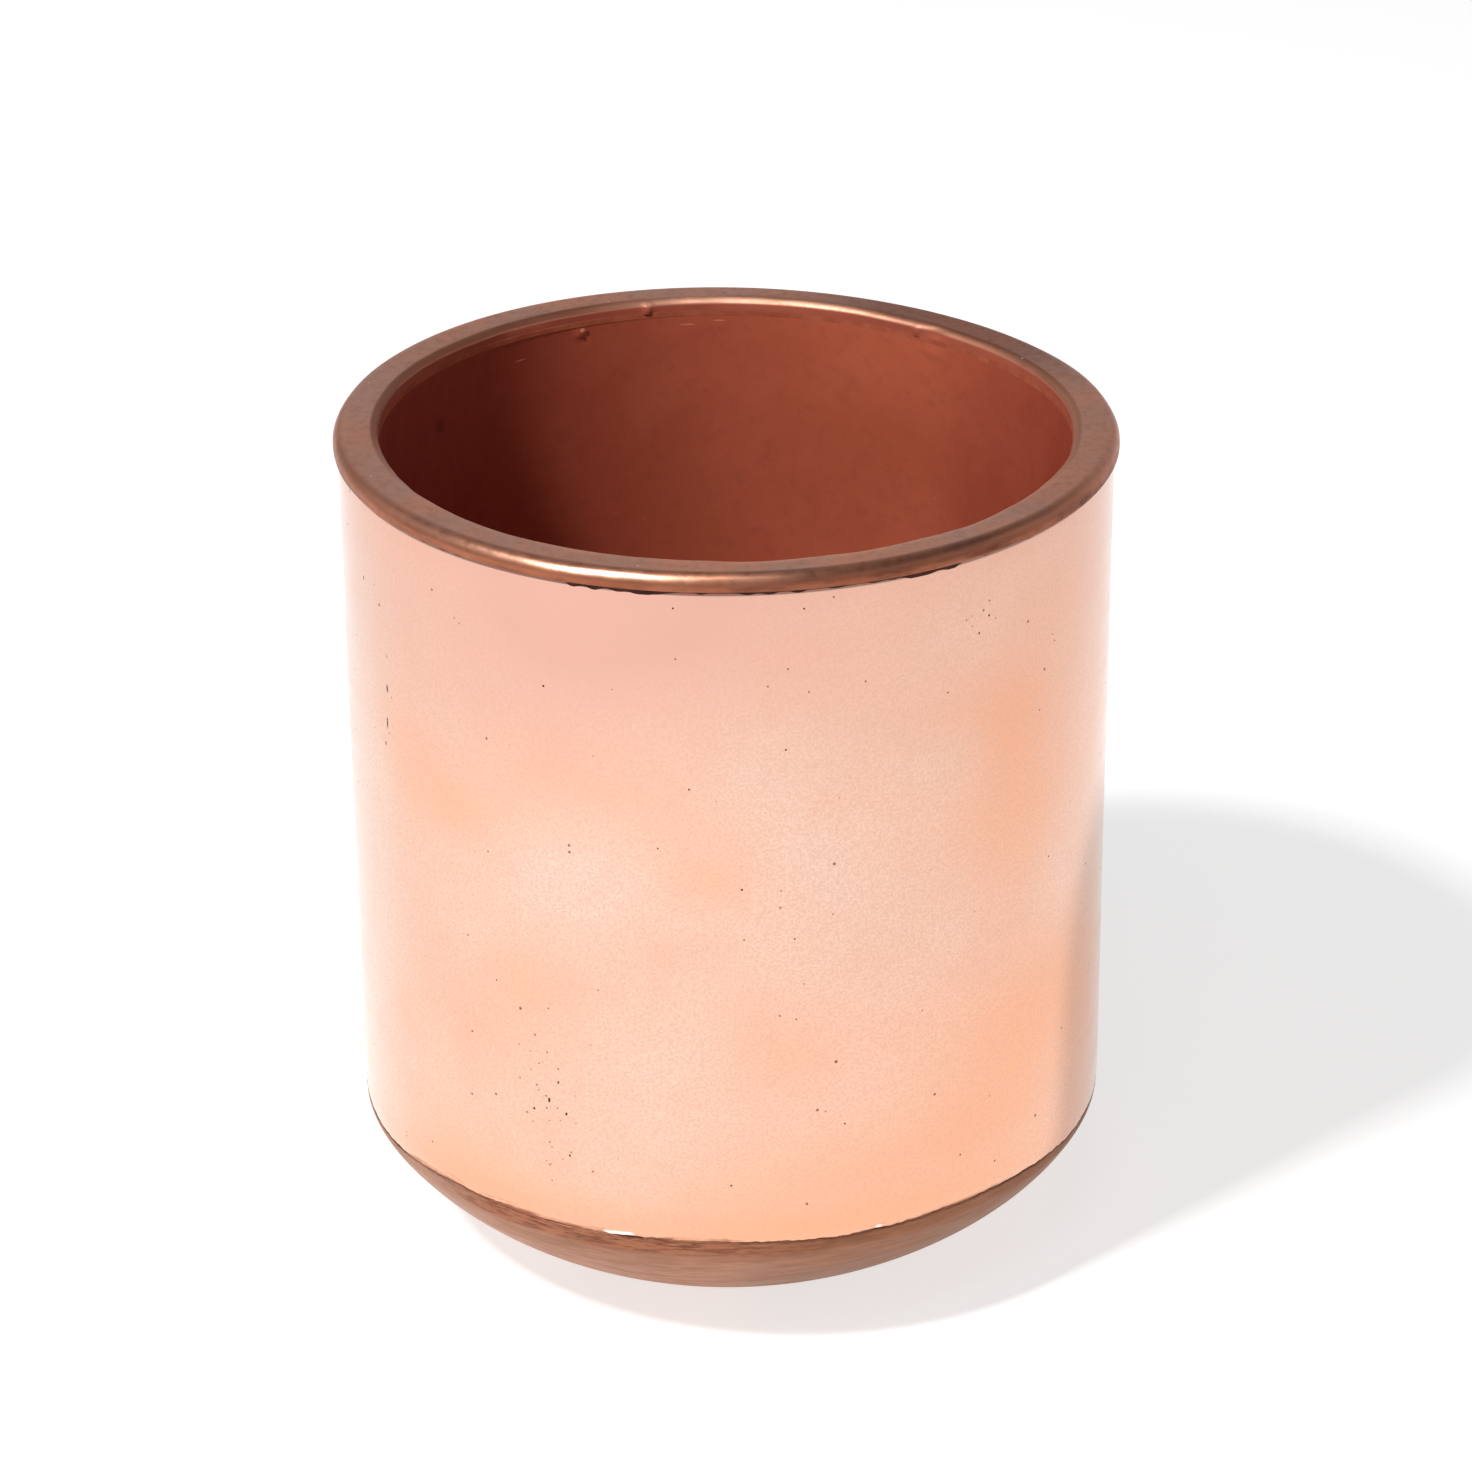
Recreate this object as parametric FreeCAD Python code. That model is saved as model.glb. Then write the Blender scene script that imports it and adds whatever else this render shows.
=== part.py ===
import FreeCAD, Part
import math
import os

# Double-walled copper cup: seven separate pieces, all turned about +Z.
#
# The cup stands on z = 0 with its axis on +Z.  A polished sleeve and a dull
# spun base pan make the outer skin, a matte liner is the vessel, a flat
# bull-nosed ring caps the gap between the two walls, and three thin brazed
# beads close the seams.  Neighbouring pieces meet face to face.
# All lengths are millimetres.

# ---------------------------------------------------------------- dimensions
height = 93.2                # foot to top of the rim
rim_outer_r = 42.0           # outside of the rim ring
wall_outer_r = 41.45         # outside of the sleeve and of the pan's edge
opening_r = 37.2             # mouth and inside of the liner
sleeve_t = 0.9               # sleeve sheet
liner_t = 0.9                # liner sheet
pan_t = 1.0                  # base pan sheet

ring_cap_h = 1.9             # thickness of the flat cap of the ring
ring_spigot_h = 2.0          # register that drops between the two walls
ring_nose_r = 1.5            # bull nose at the outer top edge of the ring
ring_under_r = 0.2           # outer lower edge of the ring
ring_lip_r = 0.8             # rounded inner top edge of the ring

pan_edge_h = 1.3             # upright edge of the pan above its bend
pan_neck_h = 4.0             # neck of the pan, lapped inside the sleeve
pan_neck_t = 0.8             # neck sheet after stepping in
# the dish of the pan: (turn of the surface from upright, local bend radius)
dish_turn_deg = [0.0, 22.0, 30.0, 63.0, 63.5, 90.0]
dish_bend_r = [0.84, 0.84, 13.2, 52.7, 10.5, 10.5]

liner_floor_z = 5.0          # inside floor of the liner
liner_corner_r = 15.1        # inside corner between floor and wall

bead_outer_w = 0.34          # fillet bead under the ring's overhang, width
bead_outer_h = 0.50          # and height
bead_inner = 0.30            # half height of the bead at the liner's top edge
bead_base = 0.35             # half height of the bead at the foot of the sleeve

# ------------------------------------------------------------ derived levels
ring_under_z = height - ring_cap_h
sleeve_inner_r = wall_outer_r - sleeve_t
liner_outer_r = opening_r + liner_t
neck_inner_r = sleeve_inner_r - pan_neck_t


def dish_profile(r_top, n=1400):
    """Integrate the bend law.  Returns (r, z, turn) from the top of the dish
    down to z = 0, where the surface has turned flat."""
    a = [math.radians(v) for v in dish_turn_deg]

    def bend(t):
        for k in range(len(a) - 1):
            if t <= a[k + 1]:
                u = (t - a[k]) / (a[k + 1] - a[k])
                return dish_bend_r[k] + u * (dish_bend_r[k + 1] - dish_bend_r[k])
        return dish_bend_r[-1]

    pts = [(r_top, 0.0, 0.0)]
    dt = math.pi / 2 / n
    r, z = r_top, 0.0
    for k in range(n):
        tm = (k + 0.5) * dt
        rho = bend(tm)
        r -= rho * math.sin(tm) * dt
        z -= rho * math.cos(tm) * dt
        pts.append((r, z, (k + 1) * dt))
    z_end = z
    return [(p[0], p[1] - z_end, p[2]) for p in pts]


dish = dish_profile(wall_outer_r)
dish_top_z = dish[0][1]
foot_r = dish[-1][0]
seam_z = dish_top_z + pan_edge_h          # joint of the sleeve and the pan

AXIS0 = FreeCAD.Vector(0, 0, 0)
AXIS = FreeCAD.Vector(0, 0, 1)


def V(r, z):
    return FreeCAD.Vector(r, 0, z)


def line(p, q):
    return Part.makeLine(V(*p), V(*q))


def arc(p, m, q):
    return Part.Arc(V(*p), V(*m), V(*q)).toShape()


def round_corner(c, rad, a0, a1):
    """Arc about c = (r, z) from angle a0 to a1, in degrees from +r."""
    def at(a):
        a = math.radians(a)
        return (c[0] + rad * math.cos(a), c[1] + rad * math.sin(a))
    return arc(at(a0), at((a0 + a1) / 2.0), at(a1))


def spline(points):
    c = Part.BSplineCurve()
    c.interpolate([V(*p) for p in points])
    return c.toShape()


def turned(edges):
    face = Part.Face(Part.Wire(Part.__sortEdges__(edges)))
    solid = face.revolve(AXIS0, AXIS, 360.0)
    if solid.ShapeType != "Solid":
        solid = solid.Solids[0]
    return solid


def polygon(points):
    return [line(points[k], points[(k + 1) % len(points)])
            for k in range(len(points))]


# -------------------------------------------------------------- outer sleeve
# straight polished tube; both ends are cut square, with a small outside
# chamfer at the foot that makes half of the brazing groove
outer_sleeve = turned(polygon([
    (sleeve_inner_r, seam_z),
    (wall_outer_r - bead_base, seam_z),
    (wall_outer_r, seam_z + bead_base),
    (wall_outer_r, ring_under_z),
    (sleeve_inner_r, ring_under_z),
]))

# ------------------------------------------------------------------ base pan
# stations of the outer skin of the dish, thinned out for the splines
turns = [0, 11, 22, 26, 30, 36, 43, 50, 57, 63, 66, 72, 78, 84, 90]


def station(deg):
    t = math.radians(deg)
    best = min(dish, key=lambda p: abs(p[2] - t))
    return best


outer_pts = [(p[0], p[1]) for p in (station(d) for d in turns)]
inner_raw = [(p[0] - pan_t * math.cos(p[2]), p[1] + pan_t * math.sin(p[2]))
             for p in (station(d) for d in turns if d >= 30)]
# the inner skin leaves the inside of the neck and runs down the dish
outer_pts[0] = (wall_outer_r, dish_top_z)
outer_pts[-1] = (foot_r, 0.0)
inner_raw[-1] = (foot_r, pan_t)
neck_foot = (neck_inner_r, seam_z - 1.0)
knee = inner_raw[0]

bend_edge = spline(outer_pts[:3])
skin_edge = spline(outer_pts[2:10])
heel_edge = spline(outer_pts[9:])
# inner side, from the centre outwards
base_pan = turned([
    line((0.0, 0.0), (foot_r, 0.0)),
    heel_edge, skin_edge, bend_edge,
    line((wall_outer_r, dish_top_z), (wall_outer_r, seam_z - bead_base)),
    line((wall_outer_r, seam_z - bead_base), (wall_outer_r - bead_base, seam_z)),
    line((wall_outer_r - bead_base, seam_z), (sleeve_inner_r, seam_z)),
    line((sleeve_inner_r, seam_z), (sleeve_inner_r, seam_z + pan_neck_h)),
    line((sleeve_inner_r, seam_z + pan_neck_h), (neck_inner_r, seam_z + pan_neck_h)),
    line((neck_inner_r, seam_z + pan_neck_h), neck_foot),
    line(neck_foot, knee),
    spline(inner_raw),
    line((foot_r, pan_t), (0.0, pan_t)),
    line((0.0, pan_t), (0.0, 0.0)),
])

# --------------------------------------------------------------- inner liner
# drawn cup, open at the top, hung from the ring
ci = (opening_r - liner_corner_r, liner_floor_z + liner_corner_r)
co_r = liner_corner_r + liner_t
liner_under_z = liner_floor_z - liner_t
inner_liner = turned([
    line((0.0, liner_under_z), (ci[0], liner_under_z)),
    round_corner(ci, co_r, 270, 360),
    line((liner_outer_r, ci[1]), (liner_outer_r, ring_under_z)),
    line((liner_outer_r, ring_under_z), (opening_r + bead_inner, ring_under_z)),
    line((opening_r + bead_inner, ring_under_z), (opening_r, ring_under_z - bead_inner)),
    line((opening_r, ring_under_z - bead_inner), (opening_r, ci[1])),
    round_corner(ci, liner_corner_r, 360, 270),
    line((ci[0], liner_floor_z), (0.0, liner_floor_z)),
    line((0.0, liner_floor_z), (0.0, liner_under_z)),
])

# ------------------------------------------------------------------ rim ring
# T section: flat cap over both walls, and a register between them
spigot_z = ring_under_z - ring_spigot_h
rim_ring = turned([
    line((opening_r, ring_under_z + bead_inner), (opening_r, height - ring_lip_r)),
    round_corner((opening_r + ring_lip_r, height - ring_lip_r), ring_lip_r, 180, 90),
    line((opening_r + ring_lip_r, height), (rim_outer_r - ring_nose_r, height)),
    round_corner((rim_outer_r - ring_nose_r, height - ring_nose_r), ring_nose_r, 90, 0),
    line((rim_outer_r, height - ring_nose_r), (rim_outer_r, ring_under_z + ring_under_r)),
    round_corner((rim_outer_r - ring_under_r, ring_under_z + ring_under_r), ring_under_r, 360, 270),
    line((rim_outer_r - ring_under_r, ring_under_z), (sleeve_inner_r, ring_under_z)),
    line((sleeve_inner_r, ring_under_z), (sleeve_inner_r, spigot_z)),
    line((sleeve_inner_r, spigot_z), (liner_outer_r, spigot_z)),
    line((liner_outer_r, spigot_z), (liner_outer_r, ring_under_z)),
    line((liner_outer_r, ring_under_z), (opening_r + bead_inner, ring_under_z)),
    line((opening_r + bead_inner, ring_under_z), (opening_r, ring_under_z + bead_inner)),
])

# --------------------------------------------------------------------- beads
# fillet of braze in the corner under the ring's overhang
rim_outer_solder = turned(polygon([
    (wall_outer_r, ring_under_z),
    (wall_outer_r + bead_outer_w, ring_under_z),
    (wall_outer_r, ring_under_z - bead_outer_h),
]))

# bead in the groove between the liner's top edge and the ring, flush with
# the bore
rim_inner_solder = turned(polygon([
    (opening_r, ring_under_z - bead_inner),
    (opening_r + bead_inner, ring_under_z),
    (opening_r, ring_under_z + bead_inner),
]))

# bead in the groove between the sleeve and the pan, flush with the wall
base_solder = turned(polygon([
    (wall_outer_r, seam_z - bead_base),
    (wall_outer_r - bead_base, seam_z),
    (wall_outer_r, seam_z + bead_base),
]))

nodes = {
    "outer_sleeve": outer_sleeve,
    "base_pan": base_pan,
    "inner_liner": inner_liner,
    "rim_ring": rim_ring,
    "rim_outer_solder": rim_outer_solder,
    "rim_inner_solder": rim_inner_solder,
    "base_solder": base_solder,
}

os.makedirs("parts", exist_ok=True)
for name in nodes:
    nodes[name].exportStep("parts/%s.step" % name)
    s = nodes[name]
    b = s.BoundBox
    print("%-18s %s valid=%s vol=%.1f mm3  x %.2f..%.2f  z %.3f..%.3f" % (
        name, s.ShapeType, s.isValid(), s.Volume, b.XMin, b.XMax, b.ZMin, b.ZMax))
print("dish top z %.3f, seam z %.3f, foot radius %.3f" % (dish_top_z, seam_z, foot_r))
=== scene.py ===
import bpy
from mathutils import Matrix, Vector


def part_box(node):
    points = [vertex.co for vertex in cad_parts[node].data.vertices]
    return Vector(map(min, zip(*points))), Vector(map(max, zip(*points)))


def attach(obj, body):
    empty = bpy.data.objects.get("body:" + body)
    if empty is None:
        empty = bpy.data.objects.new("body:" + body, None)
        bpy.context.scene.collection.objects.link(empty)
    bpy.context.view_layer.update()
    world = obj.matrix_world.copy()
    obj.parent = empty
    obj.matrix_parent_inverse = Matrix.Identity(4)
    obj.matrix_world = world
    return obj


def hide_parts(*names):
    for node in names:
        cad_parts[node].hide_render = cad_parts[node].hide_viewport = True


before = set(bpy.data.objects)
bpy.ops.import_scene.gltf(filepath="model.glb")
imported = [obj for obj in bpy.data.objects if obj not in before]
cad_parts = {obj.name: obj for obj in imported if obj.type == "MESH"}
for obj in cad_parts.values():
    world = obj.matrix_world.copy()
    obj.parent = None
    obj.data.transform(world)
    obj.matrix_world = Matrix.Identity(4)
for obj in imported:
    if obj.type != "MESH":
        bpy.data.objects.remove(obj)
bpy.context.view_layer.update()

import bpy
import math
import numpy as np
from mathutils import Matrix, Vector

MM = 0.001

# ------------------------------------------------------------ frame sizes, mm
def span(node):
    lo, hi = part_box(node)
    return [c / MM for c in lo], [c / MM for c in hi]


_, hi_ring = span("rim_ring")
lo_sleeve, hi_sleeve = span("outer_sleeve")
lo_liner, hi_liner = span("inner_liner")
lo_pan, hi_pan = span("base_pan")
HEIGHT = hi_ring[2]
RIM_R = hi_ring[0]
WALL_R = hi_sleeve[0]
SEAM_Z = lo_sleeve[2]
RING_Z = hi_sleeve[2]          # underside of the ring's cap
NECK_TOP = hi_pan[2]
LINER_R_OUT = hi_liner[0]
LINER_UNDER = lo_liner[2]
SHEET = 0.9
OPEN_R = LINER_R_OUT - SHEET
SLEEVE_R_IN = WALL_R - SHEET
CORNER_Z = SEAM_Z - 1.3
NOSE_R = 1.5
LIP_R = 0.8
UNDER_R = 0.2
FLOOR_Z = LINER_UNDER + SHEET
LINER_CORNER = 15.1
BEAD_IN = 0.30
BEAD_BASE = 0.35

TAU = 2.0 * math.pi


# -------------------------------------------------- smooth periodic functions
def wave(seed, lo, hi, amp, falloff=0.6):
    """A random periodic function of the azimuth, harmonics lo..hi, RMS amp."""
    rng = np.random.default_rng(seed)
    ks = np.arange(lo, hi + 1)
    w = ks.astype(float) ** (-falloff)
    w *= amp * math.sqrt(2.0) / math.sqrt((w ** 2).sum())
    ph = rng.uniform(0, TAU, len(ks))

    def f(a):
        a = np.asarray(a, float)
        return (w * np.cos(np.multiply.outer(a, ks) + ph)).sum(axis=-1)
    return f


def wave2(seed, kmax, zmax, amp, length):
    """A random function of azimuth (periodic) and height."""
    rng = np.random.default_rng(seed)
    n = 26
    ka = rng.integers(0, kmax + 1, n)
    kz = rng.uniform(0, zmax, n) * TAU / length
    ph = rng.uniform(0, TAU, n)
    w = rng.uniform(0.4, 1.0, n) / (1.0 + 0.35 * ka)
    w *= amp * math.sqrt(2.0) / math.sqrt((w ** 2).sum())

    def f(a, z):
        out = np.zeros(np.broadcast(a, z).shape)
        for i in range(n):
            out += w[i] * np.cos(ka[i] * a + kz[i] * z + ph[i])
        return out
    return f


def smooth(x, a, b):
    t = np.clip((x - a) / (b - a), 0.0, 1.0)
    return t * t * (3 - 2 * t)


# Azimuth is 0 on the far side (+Y), +90 on +X, 180 towards the camera.
def hump(a, centre, width):
    """1 at an azimuth, falling off over a width, both in degrees."""
    d = (a - math.radians(centre) + math.pi) % TAU - math.pi
    return np.exp(-(d / math.radians(width)) ** 2)


def rim_skew(a):
    """How far the hand-closed rim is out of round, mm."""
    return -0.9 * np.sin(2 * a) * (1 + np.cos(a)) / 2 - 0.38 * hump(a, 40, 28)


def lip_skew(a):
    return -0.42 * np.sin(2 * a) + 0.12 * np.cos(2 * a) - 1.0 * hump(a, 42, 25) + 0.35 * hump(a, -140, 30) - 0.34 * hump(a, -2, 38)


seam_noise = wave(11, 12, 90, 0.030, 0.4)
seam_fine = wave(13, 90, 260, 0.022, 0.0)

# The wall's lower edge was cleaned up by hand: its height over the corner, mm,
# against the bearing from the front in degrees, left to right, round the back.
SEAM_AT = (-180, -150, -120, -95, -78, -65, -59, -54, -50, -46, -33, -30, -22, -18, -12, -7, -2.4, 2.2, 7, 12,
           17, 20, 25, 31, 36, 43, 51, 58, 65, 80, 100, 125, 150, 180)
SEAM_H = (1.3, 0.9, 1.5, 0.9, 0.4, 0.40, 0.60, 0.95, 1.20, 1.35, 1.40, 1.30, 1.25, 1.30, 1.50, 1.50, 1.42, 1.35, 1.27,
          1.10, 0.98, 1.25, 1.02, 1.33, 1.20, 1.28, 1.02, 0.65, 0.45, 0.40, 0.9, 1.4, 1.0, 1.3)


def bearing(a):
    """Degrees from the front, positive to the right, for an azimuth."""
    return (180.0 - np.degrees(a) + 180.0) % 360.0 - 180.0


def seam_lift(a):
    """Height of the uneven edge of the polished wall over its CAD level."""
    b = bearing(a)
    out = 0.0
    for k in (-3.0, -2.0, -1.0, 0.0, 1.0, 2.0, 3.0):
        out = out + np.interp((b + k + 180.0) % 360.0 - 180.0, SEAM_AT, SEAM_H) / 7.0
    return out - 1.3 + seam_noise(a) + seam_fine(a)


# ------------------------------------------------------------------- meshing
def revolve(name, prof, nseg, shift=None, closed=True, smooth_all=True):
    """A mesh turned about +Z from (r, z) points in mm.  prof runs round the
    section; where it starts and ends on the axis it is closed by fans.
    shift(r, z, a, i) returns new r and z for the ring of points i."""
    a = np.arange(nseg) * TAU / nseg
    prof = [tuple(map(float, p)) for p in prof]
    axis0 = prof[0][0] == 0.0
    axis1 = prof[-1][0] == 0.0
    body = prof[(1 if axis0 else 0):(len(prof) - 1 if axis1 else len(prof))]
    verts = []
    for i, (r, z) in enumerate(body):
        rr = np.full(nseg, r)
        zz = np.full(nseg, z)
        if shift is not None:
            rr, zz = shift(rr, zz, a, i)
        verts.append(np.stack([rr * np.sin(a), rr * np.cos(a), zz], 1))
    V = np.concatenate(verts)
    faces = []
    m = len(body)
    j = np.arange(nseg)
    j2 = (j + 1) % nseg
    loops = m if (closed and not (axis0 or axis1)) else m - 1
    for i in range(loops):
        i2 = (i + 1) % m
        q = np.stack([i * nseg + j, i2 * nseg + j, i2 * nseg + j2, i * nseg + j2], 1)
        faces.extend(q.tolist())
    V = V.tolist()
    if axis0:
        V.append([0.0, 0.0, prof[0][1]])
        c = len(V) - 1
        faces.extend([[c, int(x), int(y)] for x, y in zip(j, j2)])
    if axis1:
        V.append([0.0, 0.0, prof[-1][1]])
        c = len(V) - 1
        o = (m - 1) * nseg
        faces.extend([[c, int(o + y), int(o + x)] for x, y in zip(j, j2)])
    V = [[x * MM, y * MM, z * MM] for x, y, z in V]
    me = bpy.data.meshes.new(name)
    me.from_pydata(V, [], faces)
    me.validate()
    me.update()
    ob = bpy.data.objects.new(name, me)
    bpy.context.scene.collection.objects.link(ob)
    # outward normals
    import bmesh
    bm = bmesh.new()
    bm.from_mesh(me)
    bmesh.ops.recalc_face_normals(bm, faces=bm.faces)
    bm.to_mesh(me)
    bm.free()
    if smooth_all:
        me.polygons.foreach_set("use_smooth", [True] * len(me.polygons))
    me.update()
    return ob


def arc_pts(c, rad, a0, a1, n):
    out = []
    for k in range(n + 1):
        t = math.radians(a0 + (a1 - a0) * k / n)
        out.append((c[0] + rad * math.cos(t), c[1] + rad * math.sin(t)))
    return out


def line_pts(p, q, n, ends=(True, True)):
    ks = range(0 if ends[0] else 1, n + (1 if ends[1] else 0))
    return [(p[0] + (q[0] - p[0]) * k / n, p[1] + (q[1] - p[1]) * k / n) for k in ks]


def attribute(ob, name, values):
    at = ob.data.attributes.new(name, "FLOAT", "POINT")
    at.data.foreach_set("value", np.asarray(values, np.float32))


def coords(ob):
    co = np.zeros(len(ob.data.vertices) * 3)
    ob.data.vertices.foreach_get("co", co)
    co = co.reshape(-1, 3) / MM
    r = np.hypot(co[:, 0], co[:, 1])
    a = np.arctan2(co[:, 0], co[:, 1])
    return r, a, co[:, 2]


# --------------------------------------------------------------- outer sleeve
wall_wave = wave2(21, 7, 2.2, 0.030, 76.0)


def wall_round(a, z):
    """Radius of the wall's outer skin: nearly straight, faintly uneven."""
    top = smooth(z, 66.0, 91.0)
    return WALL_R - 0.03 + wall_wave(a, z) + 0.55 * rim_skew(a) * top


ROWS = 120
edge = 0.16
prof = []
prof += line_pts((WALL_R, RING_Z), (WALL_R, SEAM_Z + 0.35), ROWS)      # outside, downwards
prof += [(WALL_R - 0.01, SEAM_Z + 0.20), (WALL_R - 0.03, SEAM_Z + 0.12),
         (WALL_R - 0.07, SEAM_Z + 0.05), (WALL_R - 0.14, SEAM_Z)]
prof += [(SLEEVE_R_IN, SEAM_Z)]
prof += line_pts((SLEEVE_R_IN, SEAM_Z), (SLEEVE_R_IN, RING_Z), 24, (False, True))


def sleeve_shift(r, z, a, i):
    low = seam_lift(a)
    outer = i < ROWS + 6
    t = (RING_Z - z) / (RING_Z - SEAM_Z)
    if outer:
        z = z + low * t ** 12
        r = r + (wall_round(a, z) - WALL_R)
        # the cut edge was dressed by hand and pulls in a little
        r = r - 0.05 * smooth(z, SEAM_Z + low + 1.6, SEAM_Z + low)
    else:
        z = z + np.where(t > 0.99, low, 0.0)
        r = r + 0.55 * rim_skew(a) * smooth(z, 66.0, 91.0)
    return r, z


sleeve = revolve("mug_wall", prof, 1000, sleeve_shift)

# ------------------------------------------------------------------- base pan
def dish_profile(r_top, z_top, n=600):
    turn = [math.radians(v) for v in (0.0, 22.0, 30.0, 63.0, 63.5, 90.0)]
    bend = [0.84, 0.84, 13.2, 52.7, 10.5, 10.5]
    t = (np.arange(n) + 0.5) * (math.pi / 2 / n)
    rho = np.interp(t, turn, bend)
    dt = math.pi / 2 / n
    r = r_top - np.cumsum(rho * np.sin(t)) * dt
    z = -np.cumsum(rho * np.cos(t)) * dt
    z = z - z[-1]
    return r, z, (np.arange(n) + 1) * dt


dr, dz_, dt_ = dish_profile(WALL_R, CORNER_Z)
s = np.concatenate([[0], np.cumsum(np.hypot(np.diff(dr), np.diff(dz_)))])
stations = np.unique(np.concatenate([np.linspace(0, 2.0, 14), np.linspace(2.0, s[-1], 110)]))
o_r = np.interp(stations, s, dr)
o_z = np.interp(stations, s, dz_)
o_t = np.interp(stations, s, dt_)
PAN_T = 1.0
prof = [(0.0, 0.0)]
prof += line_pts((2.0, 0.0), (o_r[-1], 0.0), 12, (True, False))
prof += list(zip(o_r[::-1], o_z[::-1]))
n_dish = len(prof) - 1
prof += line_pts((WALL_R, o_z[0]), (WALL_R, SEAM_Z - 0.30), 7, (False, True))
n_edge = len(prof) - 1
prof += [(WALL_R - 0.02, SEAM_Z - 0.18), (WALL_R - 0.07, SEAM_Z - 0.08), (WALL_R - 0.16, SEAM_Z)]
n_top = len(prof) - 1
prof += [(SLEEVE_R_IN, SEAM_Z), (SLEEVE_R_IN, NECK_TOP - 0.1), (SLEEVE_R_IN - 0.1, NECK_TOP),
         (SLEEVE_R_IN - 0.7, NECK_TOP), (SLEEVE_R_IN - 0.8, NECK_TOP - 0.1),
         (SLEEVE_R_IN - 0.8, SEAM_Z - 1.0)]
inn = [(r - PAN_T * math.cos(t), z + PAN_T * math.sin(t)) for r, z, t in zip(o_r, o_z, o_t)
       if t >= math.radians(30)]
prof += inn[::3]
prof += [(o_r[-1], PAN_T), (2.0, PAN_T), (0.0, PAN_T)]

pan_wave = wave2(31, 6, 3.0, 0.035, 30.0)
pan_turn = wave(33, 1, 5, 1.0, 0.6)


def pan_shift(r, z, a, i):
    low = seam_lift(a)
    if i >= n_edge - 8 and i < n_top + 1:
        z = z + low * np.clip((z - CORNER_Z) / (SEAM_Z - CORNER_Z), 0, 1)
    if 6 < i < n_top:
        k = smooth(z, 0.3, 3.0)
        r = r - 0.04 * k + pan_wave(a, z) * k
        # shallow steps left by the spinning tool, just under the seam
        d = SEAM_Z + low - z
        for d0, w, h in ((1.9, 0.22, 0.030), (3.2, 0.25, 0.022), (5.4, 0.4, 0.018), (8.2, 0.5, 0.015)):
            r = r - h * k * smooth(d + 0.25 * pan_turn(a + d0), d0, d0 + w)
    return r, z


pan = revolve("mug_base", prof, 1000, pan_shift)

# ---------------------------------------------------------------- inner liner
ci = (OPEN_R - LINER_CORNER, FLOOR_Z + LINER_CORNER)
prof = [(0.0, LINER_UNDER)]
prof += line_pts((2.0, LINER_UNDER), (ci[0], LINER_UNDER), 6, (True, False))
prof += arc_pts(ci, LINER_CORNER + SHEET, 270, 360, 18)
prof += line_pts((LINER_R_OUT, ci[1]), (LINER_R_OUT, RING_Z), 20, (False, True))
n_out = len(prof) - 1
prof += [(OPEN_R + 0.10, RING_Z), (OPEN_R + 0.03, RING_Z - 0.02), (OPEN_R, RING_Z - 0.06)]
prof += line_pts((OPEN_R, RING_Z - 0.2), (OPEN_R, ci[1]), 150, (True, False))
prof += arc_pts(ci, LINER_CORNER, 360, 270, 48)
prof += line_pts((ci[0], FLOOR_Z), (2.0, FLOOR_Z), 30, (False, True))
prof += [(0.0, FLOOR_Z)]

liner_wave = wave2(41, 9, 3.0, 0.045, 70.0)


def spot(a, z, a0, z0, wa, wz, r=OPEN_R):
    da = (a - math.radians(a0) + math.pi) % TAU - math.pi
    return np.exp(-((da * r / wa) ** 2 + ((z - z0) / wz) ** 2))


def liner_shift(r, z, a, i):
    if i >= n_out:
        k = smooth(z, LINER_UNDER + 2, LINER_UNDER + 14)
        top = smooth(z, 60.0, 91.0)
        inner = liner_wave(a, z) * k * (1.0 - smooth(z, 84.0, 90.0))
        # spatter and a pit below the lip on the far side, and a raised streak
        inner = inner - 0.34 * spot(a, z, -26.2, 90.1, 0.40, 0.32)
        inner = inner + 0.20 * spot(a, z, -25.3, 89.5, 0.36, 0.30)
        inner = inner - 0.10 * spot(a, z, -6.4, 89.4, 1.0, 0.18) - 0.09 * spot(a, z, -1.0, 89.8, 0.8, 0.16) - 0.16 * spot(a, z, 40.5, 89.9, 1.2, 0.35)
        r = r + inner + lip_skew(a) * top
    else:
        r = r + lip_skew(a) * smooth(z, 60.0, 91.0)
    return r, z


liner = revolve("mug_liner", prof, 512, liner_shift)

# ------------------------------------------------------------------- rim ring
spigot = RING_Z - 2.0
sec = []
sec += line_pts((OPEN_R, RING_Z + 0.10), (OPEN_R, HEIGHT - LIP_R), 5)
n_lip0 = len(sec)
sec += arc_pts((OPEN_R + LIP_R, HEIGHT - LIP_R), LIP_R, 180, 90, 14)[1:]
n_lip1 = len(sec)
sec += line_pts((OPEN_R + LIP_R, HEIGHT), (RIM_R - NOSE_R, HEIGHT), 16, (False, False))
sec += arc_pts((RIM_R - NOSE_R, HEIGHT - NOSE_R), NOSE_R, 90, 0, 22)
sec += arc_pts((RIM_R - UNDER_R, RING_Z + UNDER_R), UNDER_R, 360, 270, 6)
n_under = len(sec)
sec += line_pts((RIM_R - UNDER_R, RING_Z), (SLEEVE_R_IN, RING_Z), 3, (False, True))
sec += [(SLEEVE_R_IN, spigot), (LINER_R_OUT, spigot), (LINER_R_OUT, RING_Z),
        (OPEN_R + 0.3, RING_Z), (OPEN_R + 0.08, RING_Z), (OPEN_R + 0.02, RING_Z + 0.04)]

top_wave = wave2(51, 12, 1.0, 0.030, 9.0)
nose_wave = wave(52, 2, 26, 0.045, 0.7)
lip_wave = wave(53, 2, 22, 0.085, 0.55)
lip_fine = wave(54, 18, 70, 0.022, 0.3)


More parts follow.
